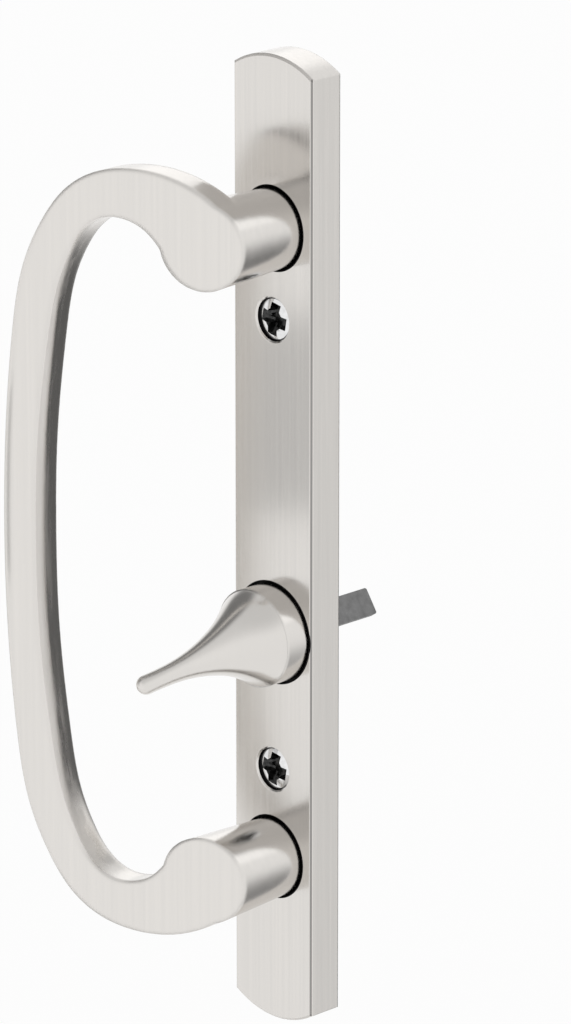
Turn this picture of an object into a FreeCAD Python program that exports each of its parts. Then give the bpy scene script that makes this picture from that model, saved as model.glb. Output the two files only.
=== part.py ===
import FreeCAD, Part
import math
import os

# Inside handle of a sliding patio door, in millimetres, +Z up, its front facing -Y.
# The back rim of the plate lies on the door in the plane Y = 0.
# X = 0 and Z = 0 lie midway between the two mounting screws.

V = FreeCAD.Vector

# Plate
plate_width = 23.4
plate_depth = 8.2
plate_corner_z = 103.6
plate_end_sag = 3.4
plate_wall = 1.6
plate_skin = 2.0
plate_edge_chamfer = 0.5
boss_below_rim = 0.4
root_bite = 0.3
blind_floor = 0.4

# Mounting screws
mount_z = 50.0
mount_hole_r = 3.6
mount_rim_r = 5.06
mount_boss_r = 6.35
csk_half_angle = 41.0
mount_shank_r = 2.4
mount_head_r = 4.4
mount_dome = 0.7
mount_screw_reach = 9.2
screw_chamfer = 0.6

# Grip posts and the screws that hold them
post_z = 69.85
post_base_r = 8.62
post_front_r = 9.55
post_front_shift = 0.5
post_overrun = 1.3
post_blend = 0.8
post_gap = 0.46
socket_depth = 3.0
socket_floor = 2.0
socket_wall = 1.82
grip_screw_r = 2.7
grip_screw_gap = 0.3
grip_screw_bite = 13.5
grip_hole_spare = 1.5
grip_head_r = 5.65
grip_head_h = 2.5
grip_head_chamfer = 1.35
head_pocket_gap = 0.65
thread_clear = 0.04

# Grip loop, drawn on its own tilted front plane
grip_stand = 21.0
grip_tilt = 17.0
grip_thick_end = 6.8
grip_thick_mid = 8.2
# outer and inner edge at the middle of the hand hold, measured out from the posts
grip_mid_out = 49.2
grip_mid_in = 39.4
# each row is one station from the hand hold to the post, its outer and its inner edge,
# as (out from the post, up from the post)
grip_stations = (((48.3, -43.85), (38.6, -45.35)),
                 ((46.3, -24.35), (36.4, -25.85)),
                 ((43.2, -9.45), (33.9, -12.35)),
                 ((38.4, 0.75), (31.0, -4.65)),
                 ((32.2, 8.45), (28.0, 0.05)),
                 ((25.0, 12.85), (23.9, 2.95)),
                 ((16.5, 14.55), (18.6, 3.55)),
                 ((9.2, 14.15), (13.2, 1.65)),
                 ((2.8, 12.35), (8.8, -2.85)),
                 ((-2.6, 9.55), (5.4, -7.05)),
                 ((-6.4, 5.55), (0.0, -8.25)))
crisp_above_post = 10.15
soft_power = 2.2
lean_gain = 2.0
edge_round_end = 0.5
edge_round_mid = 2.7
back_round_end = 1.5
back_round_mid = 2.4
back_inner_round = 1.0
face_proud_end = 0.12
face_sunk_mid = 0.25

# Thumb lever
lever_z = -19.05
lever_drop = 34.0
hub_r = 10.7
hub_stand = 5.85
hub_gap = 0.4
hub_recess = 0.8
run_clear = 0.05
shank_r = 4.0
shank_past_clip = 1.45
cup_r = 6.5
cup_wall = 1.8
cup_floor = 2.8
lever_tip_r = 2.1
lever_tip_along = 17.3
lever_tip_rise = 17.55
lever_tip_tilt = 49.0
lever_tip_bite = 0.04
lever_shoulder = 0.15
lever_ring_points = 8
# rows from hub to tip: along the lever, rise off the hub, half thickness, half width, tilt
lever_stations = ((1.0, 2.45, 9.2, 8.9, 8.0),
                  (3.2, 5.45, 6.6, 6.3, 20.0),
                  (6.2, 8.35, 4.6, 4.2, 33.0),
                  (9.8, 11.35, 3.4, 2.8, 42.0),
                  (13.6, 14.35, 2.7, 2.2, 47.0))

# Tailpiece
tail_width = 6.0
tail_thick = 1.5
tail_reach = 20.9
tail_grip = 5.2
tail_corner = 0.5
tail_fit = 0.03

# Wave washer and retaining clip
washer_in_r = 4.2
washer_out_r = 6.2
washer_thick = 0.3
washer_wave = 0.3
washer_waves = 3
washer_ring_points = 18
clip_r = 5.7
clip_thick = 0.8
groove_r = 3.3
clip_mouth = 5.2
clip_fit = 0.02

# Ribs and blind bosses on the hidden back
rib_thick = 1.2
rib_rise = 3.0
oval_long = 18.9
oval_high = 13.4
oval_wall = 1.9
dimple_r = 4.3
dimple_hole_r = 2.9
dimple_rise = 3.4
dimple_up_z = 13.4
dimple_down_z = -30.7
pin_mark_r = 2.0
pin_mark_rise = 0.25
pin_mark_x = 7.2
pin_mark_zs = (98.0, 59.0, 30.0, -8.5, -41.0, -95.0)

# Cross recess in the screw heads: bar width, span at the rim, span at the bottom, depth
grip_cross = (1.15, 4.6, 2.1, 1.8)
mount_cross = (1.6, 6.6, 2.7, 2.4)
cross_turn = 10.0

# how far a cutter runs past the face it opens
past = 1.0

front_y = -plate_depth
skin_y = front_y + plate_skin
boss_y = -boss_below_rim
beta = math.radians(grip_tilt)
grip_out = V(-math.cos(beta), -math.sin(beta), 0)
grip_back = V(-math.sin(beta), math.cos(beta), 0)
grip_zero = V(0, front_y - grip_stand, 0)
drop = math.radians(lever_drop)
lever_dir = V(-math.cos(drop), 0, -math.sin(drop))
lever_across = V(math.sin(drop), 0, -math.cos(drop))
outward = V(0, -1, 0)
hub_front_y = front_y - hub_stand
recess_y = front_y + hub_recess
cup_y = recess_y + cup_floor
clip_y = cup_y + 2 * washer_wave + washer_thick + run_clear
shank_end_y = clip_y + clip_thick + shank_past_clip
tail_root_y = shank_end_y - tail_grip
socket_y = front_y + socket_depth
pocket_y = socket_y + socket_floor


def rod(x, z, r, y0, y1):
    return Part.makeCylinder(r, y1 - y0, V(x, y0, z), V(0, 1, 0))


def taper(z, r0, y0, r1, y1):
    return Part.makeCone(r0, r1, y1 - y0, V(0, y0, z), V(0, 1, 0))


def block(x0, x1, y0, y1, z0, z1):
    return Part.makeBox(x1 - x0, y1 - y0, z1 - z0, V(x0, y0, z0))


def end_arc(half, corner_z, apex_z, y):
    return Part.Arc(V(-half, y, corner_z), V(0, y, apex_z), V(half, y, corner_z)).toShape()


def plate_outline(inset, y):
    half = plate_width / 2
    radius = half * half / (2 * plate_end_sag) + plate_end_sag / 2
    centre = plate_corner_z + plate_end_sag - radius
    half_in = half - inset
    corner = centre + math.sqrt((radius - inset) ** 2 - half_in ** 2)
    apex = centre + radius - inset
    top = end_arc(half_in, corner, apex, y)
    low = end_arc(half_in, -corner, -apex, y)
    right = Part.makeLine(V(half_in, y, corner), V(half_in, y, -corner))
    left = Part.makeLine(V(-half_in, y, -corner), V(-half_in, y, corner))
    return Part.Face(Part.Wire(Part.__sortEdges__([top, right, low, left])))


def stadium(z, long, high, y0, y1):
    flat = (long - high) / 2
    body = block(-flat, flat, y0, y1, z - high / 2, z + high / 2)
    ends = [rod(side * flat, z, high / 2, y0, y1) for side in (-1, 1)]
    return body.fuse(ends)


def cross_recess(sizes, y, z, inward):
    # two crossing bars that narrow towards the bottom of the recess
    wide, rim_span, end_span, deep = sizes
    bars = []
    for turn in (0, 90):
        rims = []
        for depth, span in ((-past, rim_span), (deep, end_span)):
            a = span / 2
            b = wide / 2
            pts = [V(-a, 0, -b), V(a, 0, -b), V(a, 0, b), V(-a, 0, b)]
            ring = Part.makePolygon(pts + pts[:1])
            ring.rotate(V(0, 0, 0), V(0, 1, 0), turn + cross_turn)
            ring.translate(V(0, y + inward * depth, z))
            rims.append(ring)
        bars.append(Part.makeLoft(rims, True, True))
    return bars[0].fuse(bars[1])


def rib(x0, x1, z0, z1):
    return block(x0, x1, skin_y - root_bite, skin_y + rib_rise, z0, z1)


def plate_bosses():
    # everything that stands on the inside of the plate's front skin
    root = skin_y - root_bite
    half = rib_thick / 2
    wall_x = plate_width / 2
    adds = [rib(-half, half, dimple_down_z, dimple_up_z),
            rib(-half, half, mount_z, post_z),
            rib(-half, half, -post_z, -mount_z),
            stadium(0, oval_long, oval_high, root, boss_y),
            rod(0, lever_z, cup_r + cup_wall, root, boss_y)]
    for side in (-1, 1):
        adds.append(rod(0, side * post_z, post_base_r + post_gap + socket_wall, root, boss_y))
        adds.append(rod(0, side * mount_z, mount_boss_r, root, boss_y))
        for z in pin_mark_zs:
            adds.append(rod(side * pin_mark_x, z, pin_mark_r, root, skin_y + pin_mark_rise))
    for z in (mount_z, dimple_up_z, dimple_down_z, -mount_z):
        adds.append(rib(-wall_x, wall_x, z - half, z + half))
    for z in (dimple_up_z, dimple_down_z):
        adds.append(rod(0, z, dimple_r, root, skin_y + dimple_rise))
    inside = plate_outline(plate_wall / 2, root).extrude(V(0, plate_depth, 0))
    return adds[0].fuse(adds[1:]).common(inside)


def plate_holes():
    floor = skin_y + blind_floor
    cuts = [stadium(0, oval_long - 2 * oval_wall, oval_high - 2 * oval_wall, floor, past),
            rod(0, lever_z, hub_r + hub_gap, front_y - past, recess_y),
            rod(0, lever_z, shank_r + run_clear, front_y, past),
            rod(0, lever_z, cup_r, cup_y, past)]
    for z in (dimple_up_z, dimple_down_z):
        cuts.append(rod(0, z, dimple_hole_r, floor, past))
    csk_depth = (mount_rim_r - mount_hole_r) / math.tan(math.radians(csk_half_angle))
    for side in (-1, 1):
        cuts.append(rod(0, side * post_z, post_base_r + post_gap, front_y - past, socket_y))
        cuts.append(rod(0, side * post_z, grip_screw_r + grip_screw_gap, front_y, past))
        cuts.append(rod(0, side * post_z, grip_head_r + head_pocket_gap, pocket_y, past))
        cuts.append(rod(0, side * mount_z, mount_hole_r, front_y - past, past))
        cuts.append(taper(side * mount_z, mount_rim_r, front_y, mount_hole_r, front_y + csk_depth))
    return cuts


def escutcheon_plate():
    body = plate_outline(0, front_y).extrude(V(0, plate_depth, 0))
    rim = [e for e in body.Edges if abs(e.BoundBox.YMax - front_y) < 1e-6]
    body = body.makeChamfer(plate_edge_chamfer, rim)
    body = body.cut(plate_outline(plate_wall, skin_y).extrude(V(0, plate_depth, 0)))
    body = body.fuse(plate_bosses()).removeSplitter()
    return body.cut(plate_holes()).removeSplitter()


def rounded_wire(corners, radii):
    # closed wire of straight sides joined by round corners, one radius to each corner
    count = len(corners)
    starts = []
    bends = []
    for i in range(count):
        here = corners[i]
        to_prev = (corners[i - 1] - here).normalize()
        to_next = (corners[(i + 1) % count] - here).normalize()
        half = math.acos(to_prev.dot(to_next)) / 2
        reach = radii[i] / math.tan(half)
        # distance of the curve's two middle poles from the corner, for a near circular bend
        pull = reach - radii[i] * 4 / 3 * math.tan((math.pi / 2 - half) / 2)
        bend = Part.BezierCurve()
        bend.setPoles([here + to_prev * reach, here + to_prev * pull,
                       here + to_next * pull, here + to_next * reach])
        bends.append(bend.toShape())
        starts.append((here + to_prev * reach, here + to_next * reach))
    edges = []
    for i in range(count):
        edges.append(bends[i])
        edges.append(Part.makeLine(starts[i][1], starts[(i + 1) % count][0]))
    return Part.Wire(edges)


def smooth_ring(pts):
    # closed curve through evenly counted points
    ring = Part.BSplineCurve()
    ring.interpolate(Points=pts, Parameters=list(range(len(pts) + 1)), PeriodicFlag=True)
    return ring.toShape()


def grip_section(outer, inner, side):
    # rounder towards the middle of the hand hold, crisp towards the flat ends
    soft = max(0.0, 1 - (outer[1] / (post_z + crisp_above_post)) ** soft_power)
    front = edge_round_end + (edge_round_mid - edge_round_end) * soft
    back = back_round_end + (back_round_mid - back_round_end) * soft
    hold = min(1, lean_gain * soft)
    proud = face_proud_end - (face_proud_end + face_sunk_mid) * hold
    lean = beta * hold
    run = V(-math.sin(lean), math.cos(lean), 0) / math.cos(beta - lean)
    lift = run * -proud
    deep = run * (grip_thick_end + (grip_thick_mid - grip_thick_end) * hold)
    a = grip_zero + grip_out * outer[0] + V(0, 0, side * outer[1])
    b = grip_zero + grip_out * inner[0] + V(0, 0, side * inner[1])
    return rounded_wire([a + lift, b + lift, b + deep, a + deep], [front, front, back_inner_round, back])


def post_ring(side, share):
    # section of a post, which widens a little from the plate to its teardrop end
    radius = post_base_r + share * (post_front_r - post_base_r)
    centre = V(share * post_front_shift, front_y - share * grip_stand, side * post_z)
    return Part.Wire([Part.Circle(centre, V(0, 1, 0), radius).toShape()])


def post_seam(body, side):
    # one edge of the corner that runs where a post meets the back of the loop
    spot = Part.Vertex(V(post_front_r, front_y - grip_stand / 2, side * post_z))
    skin = min(body.Faces, key=lambda face: face.distToShape(spot)[0])
    rim = [e for e in skin.Edges if e.BoundBox.YMax < front_y - past]
    return max(rim, key=lambda e: e.BoundBox.YMax)


def pull_grip():
    rows = [grip_section((grip_mid_out, 0), (grip_mid_in, 0), 1)]
    for outer, inner in grip_stations:
        ends = ((outer[0], post_z + outer[1]), (inner[0], post_z + inner[1]))
        rows.insert(0, grip_section(ends[0], ends[1], -1))
        rows.append(grip_section(ends[0], ends[1], 1))
    loop = Part.makeLoft(rows, True, False)
    wide = 2 * (post_z + grip_mid_out)
    ahead = Part.makePlane(wide * 2, wide * 2, V(-wide, -wide, 0)).extrude(V(0, 0, wide))
    ahead.Placement = FreeCAD.Placement(grip_zero, FreeCAD.Rotation(V(0, 0, 1), grip_back * -1))
    posts = []
    holes = []
    hole_end = socket_y - grip_screw_bite - grip_hole_spare
    for side in (-1, 1):
        posts.append(rod(0, side * post_z, post_base_r, front_y, socket_y))
        posts.append(Part.makeLoft([post_ring(side, 0), post_ring(side, post_overrun)], True, True))
        holes.append(rod(0, side * post_z, grip_screw_r + thread_clear, hole_end, socket_y + past))
    body = loop.fuse(posts).cut(ahead)
    body = body.makeFillet(post_blend, [post_seam(body, side) for side in (-1, 1)])
    return body.cut(holes)


def grip_screw(side):
    z = side * post_z
    head = rod(0, z, grip_head_r, pocket_y, pocket_y + grip_head_h)
    crown = [e for e in head.Edges if abs(e.BoundBox.YMin - pocket_y - grip_head_h) < 1e-6]
    head = head.makeChamfer(grip_head_chamfer, crown)
    tip = socket_y - grip_screw_bite
    shank = rod(0, z, grip_screw_r, tip, pocket_y)
    end = [e for e in shank.Edges if abs(e.BoundBox.YMax - tip) < 1e-6]
    shank = shank.makeChamfer(screw_chamfer, end)
    return head.fuse(shank).cut(cross_recess(grip_cross, pocket_y + grip_head_h, z, -1))


def mounting_screw(side):
    z = side * mount_z
    slope = math.tan(math.radians(csk_half_angle))
    head_y = front_y + (mount_rim_r - mount_head_r) / slope
    neck_y = head_y + (mount_head_r - mount_shank_r) / slope
    sphere_r = (mount_head_r ** 2 + mount_dome ** 2) / (2 * mount_dome)
    ball = Part.makeSphere(sphere_r, V(0, head_y - mount_dome + sphere_r, z))
    dome = ball.common(rod(0, z, mount_head_r, head_y - mount_dome, head_y))
    cone = taper(z, mount_head_r, head_y, mount_shank_r, neck_y)
    shank = rod(0, z, mount_shank_r, neck_y, mount_screw_reach)
    end = [e for e in shank.Edges if abs(e.BoundBox.YMin - mount_screw_reach) < 1e-6]
    shank = shank.makeChamfer(screw_chamfer, end)
    body = dome.fuse([cone, shank]).removeSplitter()
    return body.cut(cross_recess(mount_cross, head_y - mount_dome, z, 1))


def lever_section(along, rise, thick, half_width, tilt):
    # oval section of the lever, its plane tilted from the plate towards the lever's direction
    turn = math.radians(tilt)
    centre = V(0, hub_front_y, lever_z) + lever_dir * along + outward * rise
    thick_dir = lever_dir * math.cos(turn) - outward * math.sin(turn)
    pts = []
    for i in range(lever_ring_points):
        angle = 2 * math.pi * i / lever_ring_points
        across = lever_across * (half_width * math.sin(angle))
        pts.append(centre + thick_dir * (thick * math.cos(angle)) + across)
    return Part.Wire([smooth_ring(pts)])


def thumb_lever():
    hub = rod(0, lever_z, hub_r, hub_front_y, recess_y - run_clear)
    rows = [(0, 0, hub_r - lever_shoulder, hub_r - lever_shoulder, 0)]
    rows += lever_stations
    rows.append((lever_tip_along, lever_tip_rise, lever_tip_r, lever_tip_r, lever_tip_tilt))
    blade = Part.makeLoft([lever_section(*row) for row in rows], True, False)
    tip = V(0, hub_front_y, lever_z) + lever_dir * lever_tip_along + outward * lever_tip_rise
    ball = Part.makeSphere(lever_tip_r + lever_tip_bite, tip)
    shank = rod(0, lever_z, shank_r, hub_front_y, shank_end_y)
    body = hub.fuse([blade, ball, shank])
    groove_end = clip_y + clip_thick + clip_fit
    groove = rod(0, lever_z, shank_r + past, clip_y, groove_end)
    groove = groove.cut(rod(0, lever_z, groove_r, clip_y - past, groove_end + past))
    return body.cut([groove, tail_blank(tail_fit)])


def tail_blank(grow):
    half_w = tail_width / 2 + grow
    half_t = tail_thick / 2 + grow
    bar = block(-half_t, half_t, tail_root_y - grow, tail_reach, -half_w, half_w)
    bar.rotate(V(0, 0, 0), V(0, 1, 0), -lever_drop)
    bar.translate(V(0, 0, lever_z))
    return bar


def tailpiece():
    bar = tail_blank(0)
    ends = [e for e in bar.Edges if e.BoundBox.YMin > tail_reach - 0.01 and e.Length < tail_thick + 0.01]
    return bar.makeFillet(tail_corner, ends)


def wave_washer():
    rings = []
    for r in (washer_in_r, washer_out_r):
        pts = []
        for i in range(washer_ring_points):
            angle = 2 * math.pi * i / washer_ring_points
            y = cup_y + washer_wave * (1 + math.cos(washer_waves * angle))
            pts.append(V(r * math.cos(angle), y, lever_z + r * math.sin(angle)))
        rings.append(smooth_ring(pts))
    return Part.makeRuledSurface(rings[0], rings[1]).extrude(V(0, washer_thick, 0))


def retaining_clip():
    disc = rod(0, lever_z, clip_r, clip_y, clip_y + clip_thick)
    disc = disc.cut(rod(0, lever_z, groove_r + clip_fit, clip_y - past, clip_y + clip_thick + past))
    mouth = block(-clip_mouth / 2, clip_mouth / 2, clip_y - past, clip_y + clip_thick + past,
                  lever_z - clip_r - past, lever_z)
    return disc.cut(mouth)


nodes = {"escutcheon_plate": escutcheon_plate(),
         "pull_grip": pull_grip(),
         "thumb_lever": thumb_lever(),
         "tailpiece": tailpiece(),
         "wave_washer": wave_washer(),
         "retaining_clip": retaining_clip()}
for side, place in ((1, "upper"), (-1, "lower")):
    nodes[place + "_grip_screw"] = grip_screw(side)
    nodes[place + "_mounting_screw"] = mounting_screw(side)

os.makedirs("parts", exist_ok=True)
for name, shape in nodes.items():
    box = shape.BoundBox
    print(name, shape.ShapeType, len(shape.Solids), shape.isValid(), round(shape.Volume, 1),
          [round(v, 2) for v in (box.XMin, box.XMax, box.YMin, box.YMax, box.ZMin, box.ZMax)])
    shape.exportStep("parts/" + name + ".step")
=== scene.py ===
import math
import bmesh
import bpy
from mathutils import Matrix, Vector


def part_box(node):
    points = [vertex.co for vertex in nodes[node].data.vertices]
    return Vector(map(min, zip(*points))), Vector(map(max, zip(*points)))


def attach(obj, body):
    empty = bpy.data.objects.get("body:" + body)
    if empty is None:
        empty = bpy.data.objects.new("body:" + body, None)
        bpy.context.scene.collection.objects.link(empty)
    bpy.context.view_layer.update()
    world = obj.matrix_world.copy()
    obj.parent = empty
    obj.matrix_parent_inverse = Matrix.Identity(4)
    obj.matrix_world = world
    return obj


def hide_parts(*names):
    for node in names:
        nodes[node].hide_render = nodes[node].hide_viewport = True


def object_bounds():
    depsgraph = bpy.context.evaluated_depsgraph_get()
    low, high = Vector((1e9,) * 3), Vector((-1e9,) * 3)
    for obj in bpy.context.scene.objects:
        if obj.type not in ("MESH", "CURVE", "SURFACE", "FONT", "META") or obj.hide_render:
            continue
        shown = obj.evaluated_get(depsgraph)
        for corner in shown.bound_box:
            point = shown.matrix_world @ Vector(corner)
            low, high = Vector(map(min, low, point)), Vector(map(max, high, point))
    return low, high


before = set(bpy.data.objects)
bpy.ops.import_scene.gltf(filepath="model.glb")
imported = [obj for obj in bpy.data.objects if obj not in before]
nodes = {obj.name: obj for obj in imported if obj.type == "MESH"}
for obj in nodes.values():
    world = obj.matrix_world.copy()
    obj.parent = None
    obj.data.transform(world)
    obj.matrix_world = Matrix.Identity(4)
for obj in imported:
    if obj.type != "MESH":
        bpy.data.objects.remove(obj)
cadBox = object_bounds()
scene = bpy.context.scene
scene.view_settings.view_transform = "Standard"
print("frame loaded:", len(nodes), "pieces")


# node helpers, shared by every finish

def newMaterial(name):
    mat = bpy.data.materials.new(name)
    mat.use_nodes = True
    tree = mat.node_tree
    return mat, tree, tree.nodes["Principled BSDF"]


def addNode(tree, kind, **values):
    node = tree.nodes.new(kind)
    for key, value in values.items():
        setattr(node, key, value)
    return node


def math2(tree, operation, a, b):
    node = addNode(tree, "ShaderNodeMath", operation=operation)
    for socket, value in zip(node.inputs, (a, b)):
        if isinstance(value, (int, float)):
            socket.default_value = value
        else:
            tree.links.new(value, socket)
    return node.outputs[0]


def allOf(tree, mask, *others):
    # 1 only where every mask is 1
    for other in others:
        mask = math2(tree, "MULTIPLY", mask, other)
    return mask


def squares(tree, a, b):
    return math2(tree, "ADD", math2(tree, "MULTIPLY", a, a), math2(tree, "MULTIPLY", b, b))


def partPlace(tree):
    return addNode(tree, "ShaderNodeTexCoord").outputs["Object"]


def partXyz(tree):
    bits = addNode(tree, "ShaderNodeSeparateXYZ")
    tree.links.new(partPlace(tree), bits.inputs[0])
    return bits.outputs["X"], bits.outputs["Y"], bits.outputs["Z"]


noiseRoughness = 0.6


def grain(tree, across, along, detail):
    # noise drawn out along Z, in cycles per metre across and along the brushing
    stretch = addNode(tree, "ShaderNodeMapping")
    stretch.inputs["Scale"].default_value = (across, across, along)
    noise = addNode(tree, "ShaderNodeTexNoise")
    noise.inputs["Scale"].default_value = 1.0
    noise.inputs["Detail"].default_value = detail
    noise.inputs["Roughness"].default_value = noiseRoughness
    tree.links.new(partPlace(tree), stretch.inputs["Vector"])
    tree.links.new(stretch.outputs["Vector"], noise.inputs["Vector"])
    return noise.outputs["Fac"]


def spread(tree, source, low, high, fromLow=0.3, fromHigh=0.7):
    ranger = addNode(tree, "ShaderNodeMapRange")
    ranger.inputs["From Min"].default_value = fromLow
    ranger.inputs["From Max"].default_value = fromHigh
    ranger.inputs["To Min"].default_value = low
    ranger.inputs["To Max"].default_value = high
    tree.links.new(source, ranger.inputs["Value"])
    return ranger.outputs["Result"]


def mixed(tree, kind, factor, a, b):
    mix = addNode(tree, "ShaderNodeMix", data_type=kind)
    tree.links.new(factor, mix.inputs["Factor"])
    for key, value in (("A", a), ("B", b)):
        if isinstance(value, tuple):
            mix.inputs[key].default_value = (*value, 1)
        elif isinstance(value, float):
            mix.inputs[key].default_value = value
        else:
            tree.links.new(value, mix.inputs[key])
    return mix.outputs["Result"]


def bumped(tree, height, strength, distance, normal=None):
    bump = addNode(tree, "ShaderNodeBump")
    bump.inputs["Strength"].default_value = strength
    bump.inputs["Distance"].default_value = distance
    tree.links.new(height, bump.inputs["Height"])
    if normal is not None:
        tree.links.new(normal, bump.inputs["Normal"])
    return bump.outputs["Normal"]


def mixShaders(tree, factor, first, second, out):
    mix = addNode(tree, "ShaderNodeMixShader")
    tree.links.new(factor, mix.inputs["Fac"])
    tree.links.new(first.outputs[0], mix.inputs[1])
    tree.links.new(second.outputs[0], mix.inputs[2])
    tree.links.new(mix.outputs[0], out.inputs["Surface"])


def addObject(name, data):
    obj = bpy.data.objects.new(name, data)
    scene.collection.objects.link(obj)
    return obj


def dress(names, mat):
    for name in names:
        piece = nodes[name]
        piece.data.materials.clear()
        piece.data.materials.append(mat)


# where things show on the castings

def ringMask(tree, height, inner, outer, front, back):
    # 1 inside a ring round x = 0, between two depths; a ring above 0 is mirrored below it
    x, y, z = partXyz(tree)
    level = math2(tree, "ABSOLUTE", z, 0) if height > 0 else z
    reach = squares(tree, math2(tree, "SUBTRACT", level, height), x)
    return allOf(tree, math2(tree, "GREATER_THAN", reach, inner ** 2),
                 math2(tree, "LESS_THAN", reach, outer ** 2),
                 math2(tree, "GREATER_THAN", y, front),
                 math2(tree, "LESS_THAN", y, back))


def archReach(tree, x, z, centre):
    # squared distance from the middle of the nearer end arch of the plate
    rise = math2(tree, "SUBTRACT", math2(tree, "ABSOLUTE", z, 0), centre)
    return squares(tree, math2(tree, "MAXIMUM", rise, 0), x)


def sideBevel(tree, bevel):
    # 1 on the bevel along the plate's two long front edges
    x, y, _ = partXyz(tree)
    wide = math2(tree, "GREATER_THAN", math2(tree, "ABSOLUTE", x, 0), bevel["half"])
    return allOf(tree, wide, math2(tree, "LESS_THAN", y, bevel["front"]))


def archBevel(tree, bevel):
    # 1 on the bevel round the plate's two arched ends
    x, y, z = partXyz(tree)
    far = math2(tree, "GREATER_THAN", archReach(tree, x, z, bevel["archCentre"]), bevel["archReach"] ** 2)
    return allOf(tree, far, math2(tree, "LESS_THAN", y, bevel["front"]))


def wornShare(tree, worn):
    # how dull the sides of the hand hold are, counted in depth from the grip's leaning front
    x, y, z = partXyz(tree)
    front = math2(tree, "ADD", math2(tree, "MULTIPLY", x, worn["lean"]), worn["frontAtPost"])
    deep = math2(tree, "SUBTRACT", y, front)
    mask = allOf(tree, spread(tree, x, 0, 1, *worn["outward"]),
                 math2(tree, "GREATER_THAN", deep, worn["depth"][0]))
    deep = math2(tree, "ADD", deep, math2(tree, "MULTIPLY", z, worn["drop"]))
    near = spread(tree, deep, 1, 0, *worn["depth"])
    lines = grain(tree, worn["streakAcross"], worn["streakAlong"], worn["streakDetail"])
    streak = allOf(tree, spread(tree, lines, 0, worn["streak"], *worn["streakFrom"]),
                   spread(tree, deep, 1, 0, *worn["streakFade"]))
    return allOf(tree, mask, math2(tree, "MINIMUM", math2(tree, "ADD", near, streak), 1))


def castInside(tree, back, color, rough, normal):
    # the plate's open back, left as it was cast and plated
    x, y, z = partXyz(tree)
    reach = archReach(tree, x, z, back["archCentre"])
    inside = allOf(tree, math2(tree, "LESS_THAN", math2(tree, "ABSOLUTE", x, 0), back["halfWidth"]),
                   math2(tree, "LESS_THAN", reach, back["archReach"] ** 2),
                   math2(tree, "GREATER_THAN", y, back["front"]))
    wave = grain(tree, back["waveScale"], back["waveScale"], back["waveDetail"])
    shade = mixed(tree, "RGBA", spread(tree, wave, 0, 1), back["dark"], back["light"])
    color = mixed(tree, "RGBA", inside, color, shade)
    rough = mixed(tree, "FLOAT", inside, rough, spread(tree, wave, *back["roughness"]))
    normal = mixed(tree, "VECTOR", inside, normal, bumped(tree, wave, back["waveBump"], back["waveDepth"]))
    return color, rough, normal


# satin nickel on the plate, the grip and the lever
nickel = {
    "light": (0.725, 0.70, 0.67),
    "dark": (0.665, 0.645, 0.62),
    "lightShare": 0.6,
    "anisotropy": 0.45,
    "brushAcross": 5200.0,  # fine lines of the brushing
    "brushAlong": 60.0,
    "cloudAcross": 1100.0,  # broader uneven streaks
    "cloudAlong": 9.0,
    "detail": 2,
    "brushBump": 0.05,
    "brushDepth": 0.00001,
    "edgeSamples": 6,
    # near-black painted shade for the gaps between parts and in the countersinks
    "paintedGapShade": (0.004, 0.004, 0.004),
}


def satinNickel(name, finish):
    mat, tree, shader = newMaterial(name)
    fine = grain(tree, nickel["brushAcross"], nickel["brushAlong"], nickel["detail"])
    broad = grain(tree, nickel["cloudAcross"], nickel["cloudAlong"], nickel["detail"])
    half = finish["streaks"] / 2
    share = spread(tree, broad, nickel["lightShare"] - half, nickel["lightShare"] + half)
    color = mixed(tree, "RGBA", share, nickel["dark"], nickel["light"])
    rough = spread(tree, fine, *finish["roughness"])
    edges = addNode(tree, "ShaderNodeBevel", samples=nickel["edgeSamples"])
    edges.inputs["Radius"].default_value = finish["buffed"]
    normal = bumped(tree, fine, nickel["brushBump"], nickel["brushDepth"], edges.outputs["Normal"])
    if "castBack" in finish:
        color, rough, normal = castInside(tree, finish["castBack"], color, rough, normal)
    if "bevel" in finish:
        bevel = finish["bevel"]
        # painted reflection: the long front bevels are coloured dark
        color = mixed(tree, "RGBA", sideBevel(tree, bevel), color, bevel["paintedEdgeReflection"])
        rough = mixed(tree, "FLOAT", archBevel(tree, bevel), rough, bevel["archRough"])
    if "worn" in finish:
        rough = mixed(tree, "FLOAT", wornShare(tree, finish["worn"]), rough, finish["worn"]["rough"])
    # painted shade: the gaps round each foot and the countersinks are coloured near black
    for shadeRing in finish["paintedShadeRings"]:
        color = mixed(tree, "RGBA", ringMask(tree, *shadeRing), color, nickel["paintedGapShade"])
    tree.links.new(color, shader.inputs["Base Color"])
    tree.links.new(rough, shader.inputs["Roughness"])
    tree.links.new(normal, shader.inputs["Normal"])
    shader.inputs["Metallic"].default_value = 1
    shader.inputs["Anisotropic"].default_value = nickel["anisotropy"]
    around = addNode(tree, "ShaderNodeTangent", direction_type="RADIAL", axis="Z")
    tree.links.new(around.outputs[0], shader.inputs["Tangent"])
    return mat


def plainMetal(name, finish):
    mat, tree, shader = newMaterial(name)
    cloud = grain(tree, finish["cloud"], finish["cloud"], finish["detail"])
    color = mixed(tree, "RGBA", spread(tree, cloud, 0, 1), finish["dark"], finish["light"])
    tree.links.new(color, shader.inputs["Base Color"])
    tree.links.new(spread(tree, cloud, *finish["roughness"]), shader.inputs["Roughness"])
    shader.inputs["Metallic"].default_value = 1
    return mat


postZ = 0.06985
mountZ = 0.05
leverZ = -0.01905
archZ = 0.08517       # centre of the plate's end arches
onFace = -0.0083      # takes in a rim of painted shade on the plate round each foot
belowFace = -0.00812  # just below the plate's front face

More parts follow.
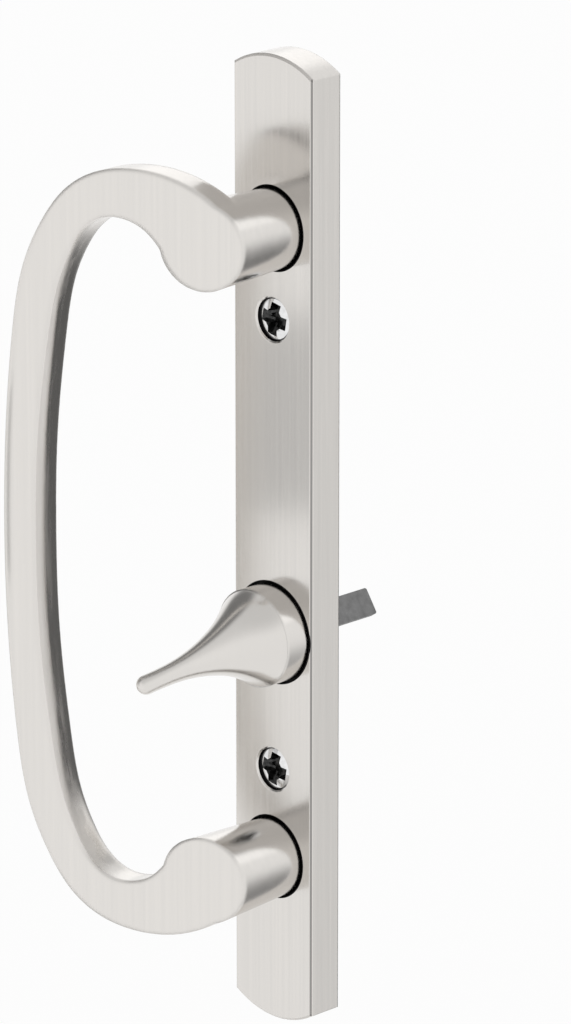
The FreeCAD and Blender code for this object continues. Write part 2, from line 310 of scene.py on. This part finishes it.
plate = {
    "buffed": 0.0003,          # radius that polishing has left on the edges
    "streaks": 0.6,            # how strong the brushing shows
    "roughness": (0.15, 0.21),
    # painted shade in the gaps round each foot and down the mounting holes: height, inner and outer
    # radius, front and back
    "paintedShadeRings": ((postZ, 0.0, 0.00932, onFace, -0.0051),
             (leverZ, 0.0, 0.01140, onFace, -0.0073),
             (mountZ, 0.0, 0.0052, -0.00785, -0.0030)),
    # the long front bevels carry a painted dark reflection; the arched ends are only made rougher
    "bevel": {"half": 0.01128, "front": -0.00778, "paintedEdgeReflection": (0.30, 0.29, 0.28),
              "archCentre": archZ, "archReach": 0.02132, "archRough": 0.65},
    "castBack": {"halfWidth": 0.0112, "front": -0.0074, "archCentre": archZ, "archReach": 0.0212,
                 "light": (0.70, 0.685, 0.66), "dark": (0.63, 0.615, 0.59), "roughness": (0.13, 0.20),
                 "waveScale": 95.0, "waveDetail": 4, "waveBump": 0.12, "waveDepth": 0.0006},
}
dress(["escutcheon_plate"], satinNickel("plateNickel", plate))

grip = {
    "buffed": 0.0018,
    "streaks": 0.35,
    "roughness": (0.15, 0.21),
    # painted shade on the post where it sinks into the plate
    "paintedShadeRings": ((postZ, 0.0, 0.0100, belowFace, 0.0),),
    # sides of the hand hold, dulled by fingers most where they meet the front
    "worn": {"outward": (-0.018, -0.032),  # the posts and their ends stay crisp
             "frontAtPost": -0.0292, "lean": 0.3057, "depth": (0.0008, 0.0032),
             "drop": 0.006,                # wider towards the lower bend
             "streakAcross": 420.0, "streakAlong": 26.0, "streakDetail": 2,
             "streak": 0.45, "streakFrom": (0.45, 0.65), "streakFade": (0.0045, 0.0066),
             "rough": 0.60},
}
dress(["pull_grip"], satinNickel("gripNickel", grip))

lever = {
    "buffed": 0.0010,
    "streaks": 0.15,
    "roughness": (0.16, 0.22),
    # painted shade round the foot of the lever's hub
    "paintedShadeRings": ((leverZ, 0.0055, 0.0120, belowFace, 0.0),),
}
dress(["thumb_lever"], satinNickel("leverNickel", lever))

tail = {
    "dark": (0.16, 0.16, 0.16),
    "light": (0.27, 0.27, 0.27),
    "roughness": (0.45, 0.6),
    "cloud": 500,  # size of the uneven patches, in cycles per metre
    "detail": 4,
}
dress(["tailpiece"], plainMetal("tailSteel", tail))

spring = {
    "dark": (0.25, 0.25, 0.26),
    "light": (0.38, 0.38, 0.40),
    "roughness": (0.25, 0.4),
    "cloud": 700,
    "detail": 4,
}
dress(["wave_washer", "retaining_clip"], plainMetal("springSteel", spring))
print("castings and steel dressed")


# screws, each a lathe blank with a rolled thread and a cross recess

def meshFrom(bm, name):
    bmesh.ops.recalc_face_normals(bm, faces=bm.faces)
    mesh = bpy.data.meshes.new(name)
    bm.to_mesh(mesh)
    bm.free()
    return mesh


def threadRadius(shank, top, end, depth, angle):
    # flat crests that fade in below the head, with a bevelled tip
    turn = ((depth - top) / shank["pitch"] - angle / (2 * math.pi)) % 1.0
    crest = min(1.0, shank["crestFlat"] * (1 - abs(2 * turn - 1)))
    fade = min(1.0, (depth - top) / shank["pitch"])
    tip = shank["radius"] - shank["tipChamfer"] + (end - depth)
    return min(tip, shank["radius"] - shank["threadDepth"] * fade * (1 - crest))


def screwBlank(name, profile, shank, end):
    # profile rows are (depth below the crown, radius), then the thread runs down to the tip
    count = shank["segments"]
    angles = [2 * math.pi * i / count for i in range(count)]
    rows = [(depth, [radius] * count) for depth, radius in profile[1:]]
    top = profile[-1][0]
    steps = round((end - top) / shank["pitch"] * shank["stepsPerTurn"])
    for k in range(1, steps + 1):
        depth = top + (end - top) * k / steps
        rows.append((depth, [threadRadius(shank, top, end, depth, angle) for angle in angles]))
    bm = bmesh.new()
    crown = bm.verts.new((0, profile[0][0], 0))
    rings = []
    for depth, radii in rows:
        spots = [(r * math.cos(angle), depth, r * math.sin(angle)) for r, angle in zip(radii, angles)]
        rings.append([bm.verts.new(spot) for spot in spots])
    foot = bm.verts.new((0, end, 0))
    for i in range(count):
        j = (i + 1) % count
        bm.faces.new((crown, rings[0][i], rings[0][j]))
        for a, b in zip(rings, rings[1:]):
            bm.faces.new((a[i], b[i], b[j], a[j]))
        bm.faces.new((rings[-1][i], foot, rings[-1][j]))
    return meshFrom(bm, name)


def crossBar(cross, wide, rimSpan, turn):
    # one bar of the recess, narrowing towards its bottom
    bm = bmesh.new()
    rims = []
    endSpan = min(rimSpan, cross["endSpan"])
    for depth, span in ((-cross["deep"], 2 * rimSpan - endSpan), (cross["deep"], endSpan)):
        a, b = span / 2, wide / 2
        rims.append([bm.verts.new((x, depth, z)) for x, z in ((-a, -b), (a, -b), (a, b), (-a, b))])
    for i in range(4):
        j = (i + 1) % 4
        bm.faces.new((rims[0][i], rims[1][i], rims[1][j], rims[0][j]))
    bm.faces.new(rims[0])
    bm.faces.new(rims[1])
    bmesh.ops.rotate(bm, verts=bm.verts, matrix=Matrix.Rotation(math.radians(turn), 3, "Y"))
    return addObject("crossBar", meshFrom(bm, "crossBar"))


def cutRecess(piece, cross):
    # two crossing bars, and two more between them that open the recess's heart
    bars = []
    for quarter in (0, 90):
        turn = cross["turn"] + quarter
        bars.append(crossBar(cross, cross["wide"], cross["rimSpan"], turn))
        bars.append(crossBar(cross, cross["heartWide"], cross["heart"], turn + cross["heartTurn"]))
    for bar in bars:
        cut = piece.modifiers.new("recess", "BOOLEAN")
        cut.operation = "DIFFERENCE"
        cut.solver = "EXACT"
        cut.object = bar
    graph = bpy.context.evaluated_depsgraph_get()
    cutMesh = bpy.data.meshes.new_from_object(piece.evaluated_get(graph))
    piece.modifiers.clear()
    piece.data = cutMesh
    for bar in bars:
        bpy.data.objects.remove(bar)


def crownDepth(spec, level):
    # how far a domed crown has fallen at this distance from the screw's axis
    if "dome" not in spec:
        return 0.0
    ball = (spec["headRadius"] ** 2 + spec["dome"] ** 2) / (2 * spec["dome"])
    return ball - math.sqrt(ball * ball - level * level)


recess = {
    "margin": 0.00008,  # below the crown, where the painted shade of the recess begins
    "reach": 1.1,       # how far down it goes, in recess depths
    # near-black colour painted into the recess as shade
    "metal": {"dark": (0.015, 0.015, 0.015), "light": (0.08, 0.08, 0.08), "roughness": (0.1, 0.25),
              "cloud": 1500, "detail": 4},
}
# painted shade for the screw recesses
paintedRecessShade = plainMetal("paintedRecessShade", recess["metal"])
sharpAngle = 32         # edges of a screw steeper than this stay sharp


def makeScrew(name, node, spec, mat, z):
    low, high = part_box(node)
    crownY = low.y if spec["facing"] < 0 else high.y
    cross = spec["cross"]
    blank = screwBlank(name, spec["profile"], spec["shank"], high.y - low.y)
    piece = addObject(name, blank)
    cutRecess(piece, cross)
    mesh = piece.data
    if spec["facing"] > 0:
        mesh.transform(Matrix.Rotation(math.pi, 4, "X"))
    mesh.materials.append(mat)
    mesh.materials.append(paintedRecessShade)
    # faces inside the recess take the painted shade
    for face in mesh.polygons:
        face.use_smooth = True
        depth = abs(face.center.y)
        level = math.hypot(face.center.x, face.center.z)
        if level < cross["rimSpan"] / 2:
            top = crownDepth(spec, level) + recess["margin"]
            if top < depth < cross["deep"] * recess["reach"]:
                face.material_index = 1
    mesh.set_sharp_from_angle(angle=math.radians(sharpAngle))
    mesh.transform(Matrix.Translation((0, crownY, z)))
    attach(piece, "handle")
    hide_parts(node)
    return piece


def ovalHead(spec):
    # domed crown, then the countersunk cone down to the shank
    rows = [(0.0, 0.0)]
    for k in range(1, spec["domeRings"] + 1):
        r = spec["headRadius"] * k / spec["domeRings"]
        rows.append((crownDepth(spec, r), r))
    rows.append((spec["neckDepth"], spec["shank"]["radius"]))
    return rows


def panHead(spec):
    # flat crown with a rounded edge and a straight rim
    bend = spec["crownRound"]
    flat = spec["headRadius"] - bend
    rows = [(0.0, 0.0), (0.0, flat / 2), (0.0, flat)]
    for k in range(1, spec["roundRings"] + 1):
        turn = math.pi / 2 * k / spec["roundRings"]
        rows.append((bend * (1 - math.cos(turn)), flat + bend * math.sin(turn)))
    rows.append((spec["headHeight"], spec["headRadius"]))
    rows.append((spec["headHeight"], spec["shank"]["radius"]))
    return rows


mountScrew = {
    "facing": -1,  # head at the front
    "headRadius": 0.0044,
    "dome": 0.0007,
    "neckDepth": 0.0030,
    "domeRings": 10,
    "shank": {"segments": 48, "radius": 0.0024, "pitch": 0.00106, "threadDepth": 0.00042,
              "crestFlat": 1.25, "stepsPerTurn": 10, "tipChamfer": 0.0006},
    "cross": {"wide": 0.0027, "rimSpan": 0.0080, "endSpan": 0.0030, "deep": 0.0024, "turn": 10,
              "heart": 0.0050, "heartWide": 0.0029, "heartTurn": 45},
    "metal": {"dark": (0.68, 0.68, 0.68), "light": (0.80, 0.80, 0.80), "roughness": (0.04, 0.08),
              "cloud": 900, "detail": 4},
}
mountScrew["profile"] = ovalHead(mountScrew)
brightScrew = plainMetal("brightScrew", mountScrew["metal"])

gripScrew = {
    "facing": 1,  # head at the back
    "headRadius": 0.00565,
    "headHeight": 0.0025,
    "crownRound": 0.0012,
    "roundRings": 8,
    "shank": {"segments": 48, "radius": 0.0027, "pitch": 0.00125, "threadDepth": 0.0005,
              "crestFlat": 1.25, "stepsPerTurn": 10, "tipChamfer": 0.0006},
    "cross": {"wide": 0.00115, "rimSpan": 0.0044, "endSpan": 0.0021, "deep": 0.0018, "turn": 10,
              "heart": 0.0023, "heartWide": 0.0013, "heartTurn": 45},
    "metal": {"dark": (0.60, 0.60, 0.60), "light": (0.76, 0.76, 0.76), "roughness": (0.14, 0.24),
              "cloud": 900, "detail": 4},
}
gripScrew["profile"] = panHead(gripScrew)
zincScrew = plainMetal("zincScrew", gripScrew["metal"])

for side, place in ((1, "upper"), (-1, "lower")):
    screw = makeScrew(place + "MountingScrew", place + "_mounting_screw", mountScrew,
                      brightScrew, side * mountZ)
    screw = makeScrew(place + "GripScrew", place + "_grip_screw", gripScrew,
                      zincScrew, side * postZ)
print("screws cut")

stage = {
    "floorDrop": 0.035,
    "floorHalf": 6.0,
    "floorColor": (0.9, 0.9, 0.9),
    "shadowShare": 0.08,
}


def whiteFloor():
    half = stage["floorHalf"]
    z = cadBox[0].z - stage["floorDrop"]
    corners = [(-half, -half, z), (half, -half, z), (half, half, z), (-half, half, z)]
    mesh = bpy.data.meshes.new("floor")
    mesh.from_pydata(corners, [], [(0, 1, 2, 3)])
    floor = addObject("floor", mesh)
    mat, tree, _ = newMaterial("floorWhite")
    tree.nodes.clear()
    out = addNode(tree, "ShaderNodeOutputMaterial")
    matte = addNode(tree, "ShaderNodeBsdfDiffuse")
    matte.inputs["Color"].default_value = (*stage["floorColor"], 1)
    glow = addNode(tree, "ShaderNodeEmission")
    path = addNode(tree, "ShaderNodeLightPath")
    share = math2(tree, "MULTIPLY", path.outputs["Is Camera Ray"], 1 - stage["shadowShare"])
    mixShaders(tree, share, matte, glow, out)
    mesh.materials.append(mat)
    floor.visible_glossy = False  # the metal mirrors the room instead


# a gray card low at the front left, which shades the middle of the plate
card = {
    "facing": (0.0, -0.0082, 0.030),
    "toward": (-0.685, -0.666, -0.297),
    "away": 0.165,
    "wide": 0.056,
    "high": 0.046,
    "level": 0.64,
}


def grayCard():
    toward = Vector(card["toward"]).normalized()
    right = toward.cross(Vector((0, 0, 1))).normalized() * (card["wide"] / 2)
    up = right.cross(toward).normalized() * (card["high"] / 2)
    middle = Vector(card["facing"]) + toward * card["away"]
    corners = [middle - right - up, middle + right - up, middle + right + up, middle - right + up]
    mesh = bpy.data.meshes.new("grayCard")
    mesh.from_pydata(corners, [], [(0, 1, 2, 3)])
    sheet = addObject("grayCard", mesh)
    mat, _, shader = newMaterial("cardGray")
    shader.inputs["Base Color"].default_value = (0, 0, 0, 1)
    shader.inputs["Emission Color"].default_value = (1, 1, 1, 1)
    shader.inputs["Emission Strength"].default_value = card["level"]
    mesh.materials.append(mat)
    sheet.visible_camera = False


# the room that the metal mirrors: white, with darker and brighter patches
room = {
    "white": 1.04,
    # azimuth and elevation of the middle (0 faces the front, + to the right), full and faded angle, level
    "patches": (("ceiling", 0, 75, 20, 70, 0.76),
                ("frontFill", -8, -18, 14, 32, 1.08),
                ("darkEnd", 171, -20, 13, 39, 0.13),
                ("upperFlag", -78, 30, 19, 37, 0.22),
                ("upperLamp", -138, 30, 9, 24, 1.33),
                ("backFlag", 163, 46, 5, 13, 0.60),
                ("rightLamp", 144, 36, 5, 15, 1.3)),
}


def bearing(azimuth, elevation):
    turn = math.radians(azimuth)
    tilt = math.radians(elevation)
    return Vector((math.sin(turn) * math.cos(tilt), -math.cos(turn) * math.cos(tilt), math.sin(tilt)))


def studioRoom():
    world = bpy.data.worlds.new("studioRoom")
    scene.world = world
    world.use_nodes = True
    tree = world.node_tree
    tree.nodes.clear()
    out = addNode(tree, "ShaderNodeOutputWorld")
    coords = addNode(tree, "ShaderNodeTexCoord")
    level = room["white"]
    for name, azimuth, elevation, full, faded, patchLevel in room["patches"]:
        toward = addNode(tree, "ShaderNodeVectorMath", operation="DOT_PRODUCT", label=name)
        toward.inputs[1].default_value = bearing(azimuth, elevation)
        tree.links.new(coords.outputs["Generated"], toward.inputs[0])
        fall = addNode(tree, "ShaderNodeMapRange", interpolation_type="SMOOTHSTEP")
        fall.inputs["From Min"].default_value = math.cos(math.radians(faded))
        fall.inputs["From Max"].default_value = math.cos(math.radians(full))
        tree.links.new(toward.outputs["Value"], fall.inputs["Value"])
        level = mixed(tree, "FLOAT", fall.outputs["Result"], level, patchLevel)
    lit = addNode(tree, "ShaderNodeBackground")
    tree.links.new(level, lit.inputs["Color"])
    white = addNode(tree, "ShaderNodeBackground")
    white.inputs["Color"].default_value = (1, 1, 1, 1)
    path = addNode(tree, "ShaderNodeLightPath")
    mixShaders(tree, path.outputs["Is Camera Ray"], lit, white, out)


whiteFloor()
grayCard()
studioRoom()
print("stage set")

shot = {
    "target": (0.00395, -0.0082, 0.008679),
    "azimuth": 45.693,
    "elevation": 17.92,
    "distance": 1.40147,
    "lens": 233.98,
    "sensor": 36,
}


def photoCamera():
    back = bearing(shot["azimuth"], shot["elevation"])
    data = bpy.data.cameras.new("photoCamera")
    data.lens = shot["lens"]
    data.sensor_width = shot["sensor"]
    camera = addObject("photoCamera", data)
    camera.location = Vector(shot["target"]) + back * shot["distance"]
    camera.rotation_euler = (-back).to_track_quat("-Z", "Y").to_euler()
    scene.camera = camera


photoCamera()
print("camera placed")
